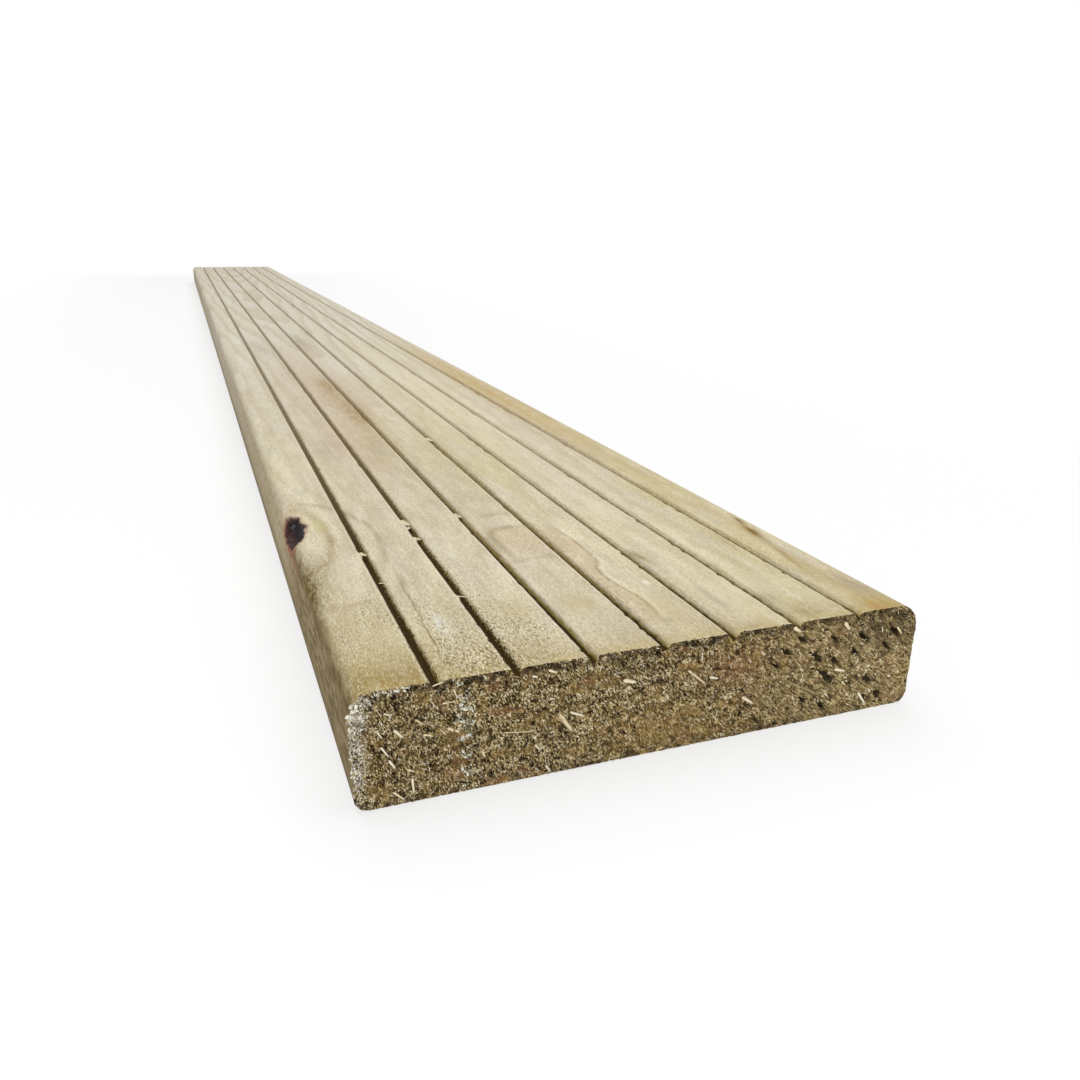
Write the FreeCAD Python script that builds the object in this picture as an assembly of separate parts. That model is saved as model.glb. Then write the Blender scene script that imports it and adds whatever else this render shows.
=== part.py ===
"""Grooved softwood decking board: one length of planed timber, sawn square at both ends.

Frame: +X across the width, +Y along the length, +Z out of the grooved walking face.
The origin is at the middle of the underside, which rests on the joists. Millimetres.
"""

import FreeCAD
import Part

import math
import os

# Driving dimensions of the planed blank
board_width = 145.0
board_thickness = 28.0
board_length = 1800.0

# Rounded long edges, larger round the walking face than round the underside
face_arris_radius = 6.0
back_arris_radius = 3.0

# Anti-slip grooves along the walking face: tapered walls that run into a round root
groove_count = 7
groove_pitch = 18.0
groove_mouth_width = 2.8
groove_depth = 2.0
groove_root_radius = 0.7

# How far the groove cutter reaches past the face and past each end, so that it cuts clean through
cutter_overrun = 5.0


def section_point(x, z, y=0.0):
    """A point of a cross-section, x across the width and z up from the underside, at a station along Y."""
    return FreeCAD.Vector(x, y, z)


def corner_arc(centre_x, centre_z, radius, start_deg, end_deg, y):
    """The rounded corner of a section about its centre, from one angle to another, measured from +X towards +Z."""
    middle_deg = (start_deg + end_deg) / 2
    points = [
        section_point(
            centre_x + radius * math.cos(math.radians(angle)),
            centre_z + radius * math.sin(math.radians(angle)),
            y,
        )
        for angle in (start_deg, middle_deg, end_deg)
    ]
    return Part.Arc(*points).toShape()


def joined_by_lines(arcs):
    """A closed wire of arcs taken in order, each joined to the next by a straight edge."""
    edges = []
    for arc, following in zip(arcs, arcs[1:] + arcs[:1]):
        edges.append(arc)
        edges.append(Part.LineSegment(arc.lastVertex().Point, following.firstVertex().Point).toShape())
    return Part.Wire(Part.__sortEdges__(edges))


def planed_blank():
    """The board before grooving: its rounded section, pushed along the full length."""
    near_end = -board_length / 2
    face_x = board_width / 2 - face_arris_radius
    face_z = board_thickness - face_arris_radius
    back_x = board_width / 2 - back_arris_radius
    back_z = back_arris_radius
    outline = joined_by_lines(
        [
            corner_arc(back_x, back_z, back_arris_radius, -90, 0, near_end),
            corner_arc(face_x, face_z, face_arris_radius, 0, 90, near_end),
            corner_arc(-face_x, face_z, face_arris_radius, 90, 180, near_end),
            corner_arc(-back_x, back_z, back_arris_radius, 180, 270, near_end),
        ]
    )
    return Part.Face(outline).extrude(FreeCAD.Vector(0, board_length, 0))


def groove_cutter(centre_x):
    """The path of one moulding cutter: walls that taper from the mouth until they touch the round root."""
    start = -board_length / 2 - cutter_overrun
    root_z = board_thickness - groove_depth + groove_root_radius
    half_mouth = groove_mouth_width / 2
    mouth_height = board_thickness - root_z
    to_mouth_deg = math.degrees(math.atan2(mouth_height, half_mouth))
    swing_deg = math.degrees(math.acos(groove_root_radius / math.hypot(half_mouth, mouth_height)))
    touch_deg = to_mouth_deg - swing_deg
    root = corner_arc(centre_x, root_z, groove_root_radius, -180 - touch_deg, touch_deg, start)
    left_wall = root.firstVertex().Point
    right_wall = root.lastVertex().Point
    above_face = board_thickness + cutter_overrun
    outline = [
        right_wall,
        section_point(centre_x + half_mouth, board_thickness, start),
        section_point(centre_x + half_mouth, above_face, start),
        section_point(centre_x - half_mouth, above_face, start),
        section_point(centre_x - half_mouth, board_thickness, start),
        left_wall,
    ]
    profile = Part.Wire([root] + Part.makePolygon(outline).Edges)
    return Part.Face(profile).extrude(FreeCAD.Vector(0, board_length + 2 * cutter_overrun, 0))


def decking_board():
    """The blank with its grooves run in at an even pitch about the centre line."""
    first_groove = -groove_pitch * (groove_count - 1) / 2
    cutters = [groove_cutter(first_groove + groove_pitch * index) for index in range(groove_count)]
    return planed_blank().cut(cutters)


os.makedirs("parts", exist_ok=True)
decking_board().exportStep("parts/decking_board.step")
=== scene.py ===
import math

import bmesh
import bpy
import numpy as np
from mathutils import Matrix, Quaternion, Vector, noise


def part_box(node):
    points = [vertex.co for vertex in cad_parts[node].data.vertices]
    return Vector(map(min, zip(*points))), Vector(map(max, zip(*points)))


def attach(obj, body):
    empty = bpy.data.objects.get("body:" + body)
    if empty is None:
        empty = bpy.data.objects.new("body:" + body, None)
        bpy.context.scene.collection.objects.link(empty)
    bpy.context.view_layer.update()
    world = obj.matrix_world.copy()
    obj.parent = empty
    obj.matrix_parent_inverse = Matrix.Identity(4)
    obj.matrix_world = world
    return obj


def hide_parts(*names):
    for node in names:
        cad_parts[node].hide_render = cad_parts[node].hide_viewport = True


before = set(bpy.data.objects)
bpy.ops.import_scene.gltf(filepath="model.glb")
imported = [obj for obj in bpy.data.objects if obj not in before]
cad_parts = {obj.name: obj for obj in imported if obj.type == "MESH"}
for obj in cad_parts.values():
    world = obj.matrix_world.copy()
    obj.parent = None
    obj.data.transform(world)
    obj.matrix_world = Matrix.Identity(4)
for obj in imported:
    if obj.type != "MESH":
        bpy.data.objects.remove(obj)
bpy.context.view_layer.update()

scene = bpy.context.scene
scene.view_settings.view_transform = "Standard"

# The board
# One length of pine, planed on all four sides, grooved along its walking face and sawn off square.
# Its section is drawn once, rounded with bevels and pushed along the length, and both ends are diced
# finely enough to carry the torn surface that a coarse saw leaves. Sizes here are in millimetres.
MM = 0.001
board_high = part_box("decking_board")[1]
half_width = board_high.x / MM
half_length = board_high.y / MM
face_height = board_high.z / MM
face_arris = 6.0
back_arris = 3.0
groove_count = 7
groove_pitch = 18.0
groove_half_mouth = 1.4
groove_depth = 2.0
groove_flank_depth = 2.92
groove_root_round = 1.46
groove_lip_round = 0.4
arris_segments = 7
back_segments = 4
root_segments = 4
lip_segments = 3
flat_step = 3.0
most_flat_cuts = 11
length_cuts = 260
finest_step = 1.4
end_dice = 0.55
weld_gap = 1e-7
end_facing = 0.9
on_saw_cut = 0.01
sharp_from = math.radians(42)

timber = bmesh.new()


def corner(across, up):
    """A corner of the section, drawn at the near end."""
    return timber.verts.new((across * MM, -half_length * MM, up * MM))


def round_off(corners, radius, segments):
    """Round corners of the section with a bevel."""
    bmesh.ops.bevel(
        timber, geom=corners, offset=radius * MM, offset_type="OFFSET", segments=segments, profile=0.5,
        affect="VERTICES", material=-1,
    )


back_corners = [corner(-half_width, 0), corner(half_width, 0)]
face_corners = [corner(half_width, face_height)]
outline = back_corners + face_corners
lips = []
roots = []
for index in reversed(range(groove_count)):
    centre = (index - (groove_count - 1) / 2) * groove_pitch
    right_lip = corner(centre + groove_half_mouth, face_height)
    root = corner(centre, face_height - groove_flank_depth)
    left_lip = corner(centre - groove_half_mouth, face_height)
    lips += [right_lip, left_lip]
    roots.append(root)
    outline += [right_lip, root, left_lip]
face_corners.append(corner(-half_width, face_height))
outline.append(face_corners[-1])
timber.faces.new(outline)
round_off(face_corners, face_arris, arris_segments)
round_off(back_corners, back_arris, back_segments)
round_off(roots, groove_root_round, root_segments)
round_off(lips, groove_lip_round, lip_segments)
for edge in list(timber.edges):
    flat_pieces = int(edge.calc_length() / (flat_step * MM))
    if flat_pieces > 1:
        bmesh.ops.subdivide_edges(timber, edges=[edge], cuts=min(flat_pieces - 1, most_flat_cuts))

pushed = bmesh.ops.extrude_face_region(timber, geom=list(timber.faces), use_keep_orig=True)
far_verts = [part for part in pushed["geom"] if isinstance(part, bmesh.types.BMVert)]
bmesh.ops.translate(timber, verts=far_verts, vec=(0, 2 * half_length * MM, 0))
bmesh.ops.recalc_face_normals(timber, faces=timber.faces)
long_edges = [edge for edge in timber.edges if edge.calc_length() > half_length * MM]
bmesh.ops.subdivide_edges(timber, edges=long_edges, cuts=length_cuts)

# Stations crowd towards both ends, where the board is looked at most closely
crowding = math.asinh(half_length / (finest_step * length_cuts / 8))
for vert in timber.verts:
    share = vert.co.y / (half_length * MM)
    from_middle = 1 - math.sinh(crowding * (1 - abs(share))) / math.sinh(crowding)
    vert.co.y = math.copysign(from_middle, share) * half_length * MM


def dice_end(side):
    """Cut the flat end at one side, -1 near or 1 far, into small squares."""
    level = side * half_length * MM
    faces = [face for face in timber.faces if face.normal.y * side > end_facing]
    parts = list(faces)
    parts += {edge for face in faces for edge in face.edges}
    parts += {vert for face in faces for vert in face.verts}
    for axis, reach_low, reach_high in ((0, -half_width, half_width), (2, 0, face_height)):
        normal = Vector((0, 0, 0))
        normal[axis] = 1
        count = round((reach_high - reach_low) / end_dice)
        for index in range(1, count):
            place = normal * (reach_low + (reach_high - reach_low) * index / count) * MM
            place.y = level
            parts = bmesh.ops.bisect_plane(
                timber, geom=parts, dist=weld_gap, plane_co=place, plane_no=normal,
            )["geom"]


for side in (-1, 1):
    dice_end(side)

# The saw's torn surface: pits lie along the growth rings, and the right of the section is smeared smoother.
# Each kind of roughness reads a slice of noise of its own, picked by one fixed number in its place.
tear_shift = {-1: Vector((0, 0, 0)), 1: Vector((310, 0, 140))}
pith = Vector((-14.0, 0, -52.0))
smear_from = 8.0
smear_to = 40.0
drag_lean = math.radians(40)
small_pit_length = 1.6
small_pit_width = 1.0
large_pit_length = 4.6
large_pit_width = 1.7
rim_pit_height = 1.1
rim_clump_size = 5.0
clump_size = 6.0
tuft_size = 1.7
crumb_size = 0.9
fine_size = 0.8
tuft_height = 0.40
fine_height = 0.34
broad_height = 0.25
pit_depth = 1.5
pit_raggedness = 0.45
saw_drop = 0.1

# Pits that the saw tore out of the smeared half of the near end: place across and up, half length along the
# saw's drag and half width
near_pits = (
    (43.0, 17.5, 3.0, 0.9),
    (48.0, 16.0, 2.5, 0.8),
    (46.5, 11.5, 3.0, 1.0),
    (54.5, 17.0, 2.5, 0.8),
    (46.0, 3.5, 2.0, 0.9),
    (63.5, 3.5, 1.5, 1.0),
    (59.5, 8.5, 2.0, 0.8),
    (59.0, 3.5, 1.5, 0.8),
    (64.0, 17.5, 2.5, 0.8),
    (34.0, 20.0, 2.5, 0.8),
    (31.0, 17.0, 1.5, 0.7),
    (29.0, 19.5, 1.5, 0.6),
    (40.0, 6.0, 1.5, 0.7),
    (53.5, 9.0, 1.5, 0.7),
    (57.0, 20.5, 3.0, 0.7),
    (48.0, 21.5, 2.0, 0.6),
    (26.5, 3.0, 1.5, 0.8),
    (66.5, 21.0, 2.0, 0.7),
    (38.0, 23.0, 2.0, 0.6),
)


def eased(value, start, end):
    """Goes smoothly from 0 where the value is at start to 1 where it is at end."""
    share = min(max((value - start) / (end - start), 0), 1)
    return share * share * (3 - 2 * share)


def along_saw(across, up):
    """A place on the end, turned to run along and across the saw's drag."""
    along_drag = across * math.cos(drag_lean) - up * math.sin(drag_lean)
    across_drag = across * math.sin(drag_lean) + up * math.cos(drag_lean)
    return along_drag, across_drag


def tear_pit(across, up, side):
    """How deep a torn-out pit is at a point of the end, from 0 to 1."""
    shift = tear_shift[side]
    from_pith = Vector((across - pith.x, up - pith.z))
    along_ring = math.atan2(from_pith.x, from_pith.y) * from_pith.length
    smear = eased(across, smear_from, smear_to)
    small_spot = Vector((along_ring / small_pit_length, 0, from_pith.length / small_pit_width))
    small = eased(noise.noise(small_spot + shift), 0.08, 0.40)
    along_drag, across_drag = along_saw(across, up)
    large_spot = Vector((along_drag / large_pit_length, 9, across_drag / large_pit_width))
    large = noise.noise(large_spot + shift)
    if side < 0 and smear > 0:
        ragged = pit_raggedness * noise.noise(Vector((across / crumb_size, 9, up / crumb_size)))
        large = 0.4 * eased(large, 0.2, 0.5)
        for pit_across, pit_up, pit_length, pit_width in near_pits:
            off_length, off_width = along_saw(across - pit_across, up - pit_up)
            reach = math.hypot(off_length / pit_length, off_width / pit_width) + ragged
            large = max(large, 1 - eased(reach, 0.6, 1.2))
    else:
        large = eased(large, 0.16, 0.4)
    clump = noise.noise(Vector((across / clump_size, 2, up / clump_size)) + shift)
    pit = small * (1 - smear) * (0.4 + 0.6 * eased(clump, -0.25, 0.3)) + large * smear
    rim = noise.noise(Vector((across / crumb_size, 7, up / rim_pit_height)) + shift)
    rim_clump = noise.noise(Vector((across / rim_clump_size, 8, 0)) + shift)
    by_face = eased(up, face_height - 2.4, face_height - 1.0)
    rim = by_face * eased(rim, 0.0, 0.3) * eased(rim_clump, -0.35, 0.3)
    straight_edge = eased(min(half_width - abs(across), up), 0.2, 1.6) * eased(face_height - up, 0.0, 0.6)
    return max(pit, 0.8 * rim) * straight_edge


def torn_height(across, up, side):
    """How far the torn end stands out of the saw's plane at a point of the section."""
    shift = tear_shift[side]
    smear = eased(across, smear_from, smear_to)
    broad = noise.noise(Vector((across / clump_size, 0, up / clump_size)) + shift)
    tuft = noise.noise(Vector((across / tuft_size, 3, up / tuft_size)) + shift)
    fine = noise.noise(Vector((across / fine_size, 5, up / fine_size)) + shift)
    rough = tuft_height * tuft + fine_height * fine * (1 - 0.35 * smear) + broad_height * broad
    straight_edge = eased(min(half_width - abs(across), up, face_height - up), 0.0, 1.0)
    return rough * (0.25 + 0.75 * straight_edge) - pit_depth * tear_pit(across, up, side) - saw_drop


# A dead knot that broke out of the left arris
knot_along = -half_length + 114.5
knot_half_length = 13.5
knot_half_girth = 5.3
knot_depth = 2.4
knot_lean_deg = 38.0
knot_inland = 4.0
knot_raggedness = 0.2
knot_splinters = 0.6
knot_border = 1.6
knot_cuts = 2
arris_band = 2.2
far_from_knot = 9.0
arris_centre = Vector((-half_width + face_arris, 0, face_height - face_arris))


def knot_reach(across, along, up):
    """Distance from the knot's middle round the arris and along the board, 1 at its ragged rim."""
    girth_angle = math.atan2(up - arris_centre.z, arris_centre.x - across) - math.radians(knot_lean_deg)
    girth = girth_angle * face_arris / knot_half_girth
    run = (along - knot_along) / knot_half_length
    ragged = knot_raggedness * noise.noise(Vector((across / 2.5, along / 5, up / 2.5)))
    return math.hypot(girth, run) + ragged


# Where the moulding cutter tore a groove's left lip: groove counted from the left, distance from the near
# end, length along the board, and how far the torn tongue reaches over the groove
lip_tears = (
    (0, 83.0, 3.0, 0.6),
    (1, 106.0, 4.0, 0.8),
    (1, 91.0, 3.0, 0.6),
    (1, 43.0, 2.0, 0.5),
    (2, 110.0, 4.0, 0.7),
    (4, 60.0, 2.5, 0.5),
    (5, 88.0, 3.0, 0.5),
)
lip_reach = 0.6
lip_drop = 0.5
lip_wave = 0.12
nick_depth = 0.25
nick_drop = 0.22


def torn_lip(across, along, up):
    """Sideways and downward shift of a point on a groove's lip."""
    groove = round(across / groove_pitch)
    from_centre = across - groove * groove_pitch
    off_lip = abs(from_centre) > groove_half_mouth + lip_reach or up < face_height - lip_drop
    if abs(groove) > groove_count // 2 or off_lip:
        return 0.0, 0.0
    lip = math.copysign(1, from_centre)
    wave = noise.noise(Vector((groove * 9 + lip, along / 7, 0)))
    nick = eased(noise.noise(Vector((groove * 5 + lip * 3, along / 2.4, 4))), 0.2, 0.5)
    sideways = lip * (lip_wave * wave + nick_depth * nick)
    for tear_groove, tear_end, tear_length, tear_reach in lip_tears:
        if groove + groove_count // 2 == tear_groove and lip < 0:
            gap = abs(along + half_length - tear_end)
            sideways += tear_reach * (1 - eased(gap, tear_length * 0.2, tear_length * 0.6))
    return sideways, nick_drop * nick


def sculpted(across, along, up):
    """A point of the finished surface, from its place on the clean moulded shape."""
    for side in (-1, 1):
        if abs(along - side * half_length) < on_saw_cut:
            edge_gap = min(half_width - abs(across), up, face_height - up)
            ragged = 0.25 * noise.noise(Vector((across / crumb_size, side * 11, up / crumb_size)))
            ragged *= 1 - eased(edge_gap, 0, 1)
            inward = Vector((-across / half_width, 0, 1 - 2 * up / face_height))
            return Vector((across, along + side * torn_height(across, up, side), up)) + inward * ragged
    if across < arris_centre.x + knot_inland:
        reach = knot_reach(across, along, up)
        inward = Vector((arris_centre.x - across, 0, arris_centre.z - up))
        if reach < 1.2 and inward.length > 0.1:
            splintered = noise.noise(Vector((across / 1.2, along / 2.4, up / 1.2)))
            splinters = knot_splinters * splintered * (1 - eased(reach, 0.8, 1.1))
            sunk = knot_depth * (1 - eased(reach, 0.5, 1.0)) + splinters
            return Vector((across, along, up)) + inward.normalized() * sunk
    sideways, drop = torn_lip(across, along, up)
    return Vector((across + sideways, along, up - drop))


for face in timber.faces:
    face.material_index = 1 if abs(face.normal.y) > end_facing else 0
knot_edges = set()
for face in timber.faces:
    middle = face.calc_center_median() / MM
    beside_knot = abs(middle.y - knot_along) < knot_half_length * knot_border
    on_arris = middle.x < arris_centre.x + knot_inland and middle.z > face_height - arris_band * face_arris
    if beside_knot and on_arris:
        knot_edges.update(face.edges)
bmesh.ops.subdivide_edges(timber, edges=list(knot_edges), cuts=knot_cuts, use_grid_fill=True)
pit_layer = timber.verts.layers.float.new("tear_pit")
knot_layer = timber.verts.layers.float.new("knot_reach")
for vert in timber.verts:
    across, along, up = vert.co / MM
    vert[knot_layer] = min(knot_reach(across, along, up), far_from_knot) if across < 0 else far_from_knot
    if half_length - abs(along) < on_saw_cut:
        vert[pit_layer] = tear_pit(across, up, math.copysign(1, along))
    vert.co = sculpted(across, along, up) * MM

board_mesh = bpy.data.meshes.new("decking_board_timber")
timber.to_mesh(board_mesh)
timber.free()
board_mesh.shade_smooth()
board_mesh.set_sharp_from_angle(angle=sharp_from)
board = bpy.data.objects.new("decking_board_timber", board_mesh)
scene.collection.objects.link(board)
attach(board, "root")
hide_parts("decking_board")


class Field:
    """A socket in a material's nodes. Sums on it add Math nodes, and node() adds any other kind."""

    def __init__(self, tree, socket=None):
        self.tree = tree
        self.socket = socket

    def node(self, kind, settings, sockets, output=0):
        made = self.tree.nodes.new(kind)
        for name, value in settings.items():
            if name == "bends":
                curve = made.mapping.curves[0].points
                for place, level in value[1:-1]:
                    curve.new(place, level)
                for spot, (place, level) in zip(curve, value):
                    spot.location = (place, level)
                made.mapping.update()
            elif name == "stops":
                ramp = made.color_ramp.elements
                while len(ramp) < len(value):
                    ramp.new(1.0)
                for stop, (place, colour) in zip(ramp, value):
                    stop.position = place
                    stop.color = colour
            else:
                setattr(made, name, value)
        for name, value in sockets.items():
            if isinstance(value, Field):
                self.tree.links.new(value.socket, made.inputs[name])
            else:
                made.inputs[name].default_value = value
        return Field(self.tree, made.outputs[output])

    def math(self, operation, *terms):
        return self.node("ShaderNodeMath", {"operation": operation}, dict(enumerate(terms)))

    def __add__(self, other):
        return self.math("ADD", self, other)

    def __radd__(self, other):
        return self.math("ADD", other, self)

    def __sub__(self, other):
        return self.math("SUBTRACT", self, other)

    def __rsub__(self, other):
        return self.math("SUBTRACT", other, self)

    def __mul__(self, other):
        return self.math("MULTIPLY", self, other)

    def __rmul__(self, other):
        return self.math("MULTIPLY", other, self)

    def __truediv__(self, other):
        return self.math("DIVIDE", self, other)

    def __abs__(self):
        return self.math("ABSOLUTE", self)

    def rise(self, start, end):
        """Goes smoothly from 0 where this value is at start to 1 where it is at end."""
        limits = {0: self, 1: start, 2: end, 3: 0.0, 4: 1.0}
        return self.node("ShaderNodeMapRange", {"interpolation_type": "SMOOTHSTEP"}, limits)

    def bell(self, middle, reach):
        """1 where this value is at the middle, falling away over the reach to both sides."""
        off = (self - middle) / reach
        return self.math("EXPONENT", off * off * -1.0)

    def tint(self, other, share):
        """This colour, mixed with another by a share from 0 to 1."""
        return self.node("ShaderNodeMix", {"data_type": "RGBA"}, {0: share, 6: self, 7: other}, 2)

    def grain(self, size, detail=2.0, roughness=0.5, shift=0.0):
        """Noise about 0.5, in patches of the given size in millimetres across, along and up."""
        scale = tuple(1 / length for length in size)
        terms = {0: self, 1: scale, 2: (shift, shift, shift)}
        moved = self.node("ShaderNodeVectorMath", {"operation": "MULTIPLY_ADD"}, terms)
        sockets = {"Vector": moved, "Scale": 1.0, "Detail": detail, "Roughness": roughness}
        return self.node("ShaderNodeTexNoise", {}, sockets)

    def part(self, axis):
        return self.node("ShaderNodeSeparateXYZ", {}, {0: self}, axis)

    def attribute(self, name):
        return self.node("ShaderNodeAttribute", {"attribute_name": name}, {}, "Fac")


def shade(red, green, blue):
    """A colour from its screen values, 0 to 255, as the linear colour that a shader takes."""
    return (*(((value / 255 + 0.055) / 1.055) ** 2.4 for value in (red, green, blue)), 1.0)


def new_finish(name, roughness, specular):
    """A material with one main shader. Gives the material, its shader and its place in millimetres."""
    finish = bpy.data.materials.new(name)
    finish.use_nodes = True
    shader = finish.node_tree.nodes["Principled BSDF"]
    shader.inputs["Roughness"].default_value = roughness
    shader.inputs["Specular IOR Level"].default_value = specular
    place = Field(finish.node_tree).node("ShaderNodeTexCoord", {}, {}, "Object")
    place = place.node("ShaderNodeVectorMath", {"operation": "SCALE"}, {0: place, "Scale": 1 / MM})
    return finish, shader, place


def connect(shader, colour, height, depth):
    """Give a shader its colour, and a bump of the given depth in millimetres from a height field."""
    bump = colour.node("ShaderNodeBump", {}, {"Strength": 1.0, "Distance": depth * MM, "Height": height})
    colour.tree.links.new(colour.socket, shader.inputs["Base Color"])
    colour.tree.links.new(bump.socket, shader.inputs["Normal"])


# Planed faces: pale treated pine, yellow by its ends and greyer along the middle, with faint growth rings
# and short torn dashes of grain. The paler grey far from the near end is partly the wood's tone, partly
# painted light.
olive_tan = shade(201, 190, 149)
pink_tan = shade(205, 194, 168)
pale_tan = shade(221, 210, 180)
cool_tan = shade(205, 197, 179)
far_grey = shade(218, 213, 202)
golden = shade(160, 138, 80)
near_tan = shade(183, 168, 123)
end_gold = shade(146, 122, 62)
end_yellow = shade(186, 164, 92)
latewood = shade(168, 146, 105)
dark_dash = shade(112, 97, 58)
pale_dash = shade(238, 230, 204)
ring_width = 4.6
pith_tilt = 0.02
planed_relief = 0.22

planed, shader, place = new_finish("planed_pine", roughness=0.82, specular=0.15)
across = place.part("X")
along = place.part("Y")
up = place.part("Z")
from_near_end = along + half_length
from_any_end = half_length - abs(along)
far_fade = from_near_end.rise(60.0, 640.0)
left_lands = 1 - across.rise(-34.0, -16.0)
first_land = 1 - across.rise(-57.0, -51.0)
knot_gap = place.attribute("knot_reach")

wander = place.grain((50, 280, 50)) - 0.5
ripple = place.grain((12, 60, 12), 3.0) - 0.5
ring_across = across - pith.x
ring_up = up - pith.z - along * pith_tilt
radius = across.math("SQRT", ring_across * ring_across + ring_up * ring_up) + wander * 12.0 + ripple * 2.4
ring = across.math("FRACT", radius / ring_width)
late = ring.rise(0.3, 0.9) * (1 - ring.rise(0.91, 0.99))
olive = place.grain((40, 200, 40), 3.0, shift=4.0).rise(0.42, 0.6)
pale = place.grain((14, 110, 14), 3.0, shift=7.0).rise(0.48, 0.66)
cool = place.grain((7, 36, 7), 3.0, shift=11.0).rise(0.48, 0.66)
colour = place.node("ShaderNodeMix", {"data_type": "RGBA"}, {0: olive, 6: pink_tan, 7: olive_tan}, 2)
colour = colour.tint(pale_tan, pale * 0.7)
colour = colour.tint(cool_tan, cool * 0.6)
# Paler and greyer farther from the near end: partly the wood's tone, partly painted light
colour = colour.tint(far_grey, far_fade * (0.65 + 0.3 * pale))
colour = colour.tint(latewood, late * (0.2 + 0.14 * far_fade))

# Growth lines that show on the flat face: a tongue on the fourth land, a wandering line down the fifth, lines
# across the fourth and the first, and two rings that bend round the knot. The wandering line's bends are
# shares of its length along the board and of its reach across.
line_brown = shade(146, 124, 84)
tongue_pink = shade(196, 176, 144)
tongue_middle = -3.7
tongue_half_width = 10.8
tongue_top = 92.0
tongue_round = 5.0
tongue_stretch = 1.7
line_length = 100.0
line_reach = 10.0
line_bends = (
    (0.1, 0.4),
    (0.17, 0.62),
    (0.28, 0.66),
    (0.35, 0.51),
    (0.47, 0.43),
    (0.57, 0.74),
    (0.78, 0.73),
    (0.9, 0.58),
)
wobble = (place.grain((4, 10, 4), 3.0, shift=15.0) - 0.5) * 3.0
broken = place.grain((3, 9, 3), 2.0, shift=21.0).rise(0.34, 0.6)
tongue_side = across.math("MAXIMUM", abs(across - tongue_middle) - (tongue_half_width - tongue_round), 0.0)
tongue_tip = (from_near_end - tongue_top) / tongue_stretch + tongue_round
tongue_tip = across.math("MAXIMUM", tongue_tip, 0.0)
tongue = across.math("SQRT", tongue_side * tongue_side + tongue_tip * tongue_tip)
tongue = tongue - tongue_round + wobble * 0.6
fourth_land = (1 - across.rise(0.0, 4.0)) * from_near_end.rise(58.0, 76.0)
colour = colour.tint(tongue_pink, (1 - tongue.rise(-1.5, 0.3)) * fourth_land * 0.5)
colour = colour.tint(line_brown, tongue.bell(0.0, 1.1) * fourth_land * (0.3 + 0.7 * broken) * 0.65)
bend = place.node("ShaderNodeFloatCurve", {"bends": line_bends}, {"Value": from_near_end / line_length})
off_line = across - bend * line_reach + wobble * 0.25
fifth_land = from_near_end.rise(10.0, 14.0) * (1 - from_near_end.rise(84.0, 94.0)) * across.rise(0.6, 1.8)
colour = colour.tint(tongue_pink, (1 - off_line.rise(-0.4, 0.2)) * fifth_land * 0.55)
colour = colour.tint(pale_dash, off_line.bell(1.4, 1.0) * fifth_land * 0.4)
colour = colour.tint(line_brown, off_line.bell(0.0, 0.5) * fifth_land * (0.35 + 0.65 * broken) * 0.85)
# Lines across a land: distance from the near end, and where the line starts and stops across
cross_lines = ((106.0, -15.0, 1.0), (63.0, -17.0, -1.0), (46.0, -71.0, -58.0))
for line_end, line_left, line_right in cross_lines:
    line = (from_near_end - line_end + wobble).bell(0.0, 1.8)
    line = line * across.rise(line_left, line_left + 2.0) * (1 - across.rise(line_right - 3.0, line_right))
    colour = colour.tint(line_brown, line * (0.3 + 0.7 * broken) * 0.4)
# Rings round the knot: half width, middle along the board, half length, line width as a share, and strength
halo_middle = -70.0
knot_rings = ((8.7, 103.0, 30.0, 0.15, 0.85), (22.7, 94.5, 44.0, 0.05, 0.6))
for ring_half_width, ring_middle, ring_half_length, line_width, strength in knot_rings:
    halo_across = (across - halo_middle + wobble * 0.5) / ring_half_width
    halo_along = (from_near_end - ring_middle) / ring_half_length
    halo = across.math("SQRT", halo_across * halo_across + halo_along * halo_along)
    shown = from_near_end.rise(60.0, 84.0) * up.rise(25.0, 27.5) * (0.6 + 0.4 * broken)
    colour = colour.tint(line_brown, halo.bell(1.0, line_width) * shown * strength)
in_halo = 1 - knot_gap.rise(1.6, 2.4)
colour = colour.tint(pale_tan, in_halo * 0.4)

# Both ends are golden where the sap wood drew up the treatment
end_creep = (place.grain((9, 30, 9), shift=8.0) - 0.5) * 16.0
gold = 1 - (from_any_end + end_creep * (1 - 0.5 * left_lands)).rise(0.0, 22.0)
colour = colour.tint(golden, gold * (0.36 + 0.1 * left_lands + 0.44 * first_land))
near_left = left_lands * (1 - from_near_end.rise(8.0, 60.0))
colour = colour.tint(near_tan, near_left * (0.5 + 0.24 * first_land))
colour = colour.tint(end_gold, (0.3 * left_lands + 0.66 * first_land) * (1 - from_near_end.rise(2.0, 20.0)))
colour = colour.tint(end_yellow, (1 - from_any_end.rise(1.5, 5.0)) * 0.34)
streak = place.grain((0.9, 55, 0.9), 3.0)
colour = colour.tint(latewood, streak.rise(0.52, 0.75) * 0.25)
colour = colour.tint(pale_dash, (1 - streak).rise(0.55, 0.8) * 0.25)

# Fine grit of the planed grain, and soft clouds of grey
cloud_grey = shade(178, 167, 140)
grit = place.grain((0.5, 1.9, 0.5), 2.0, 0.6, shift=17.0)
colour = colour.tint(latewood, grit.rise(0.5, 0.7) * 0.46)
colour = colour.tint(pale_dash, (1 - grit).rise(0.5, 0.7) * 0.4)
cloud = place.grain((3.4, 16, 3.4), 3.0, 0.6, shift=19.0)
cloudy = 1 - 0.75 * far_fade
colour = colour.tint(cloud_grey, cloud.rise(0.5, 0.66) * cloudy * 0.4)
colour = colour.tint(pale_dash, (1 - cloud).rise(0.52, 0.7) * cloudy * 0.28)

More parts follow.
